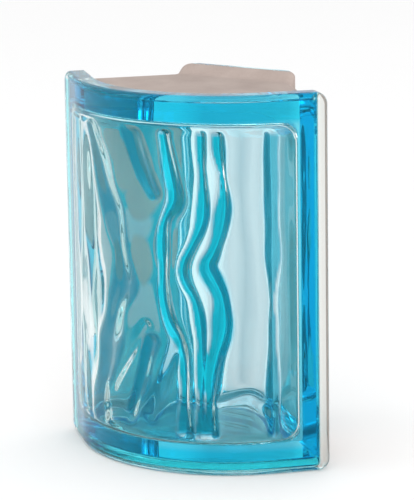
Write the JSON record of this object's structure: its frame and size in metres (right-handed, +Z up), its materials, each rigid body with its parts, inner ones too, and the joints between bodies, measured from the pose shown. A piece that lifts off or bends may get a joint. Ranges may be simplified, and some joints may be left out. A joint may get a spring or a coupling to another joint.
{
  "type": "corner glass block",
  "caption": "Hollow clear glass block that turns a wall round a right-angled corner, with a bent outer face, rippled panes, set-in mortar keys and coated side walls.",
  "frame": {"origin": "centre of the bounding box on the plane that the rims stand on", "axes": "+Z up the block's height, -Y out of the crown of the bent outer face, +Y out of the flat back, X across the width"},
  "size_m": [0.153, 0.0942, 0.19],
  "materials": {
    "clear_glass": "polished",
    "tinted_glass": "polished",
    "bonding_coat": "matt, slightly gritty"
  },
  "bodies": {
    "root": {"outer_shell": "clear_glass", "inner_shell": "tinted_glass", "edge_coating": "bonding_coat"}
  },
  "joints": []
}
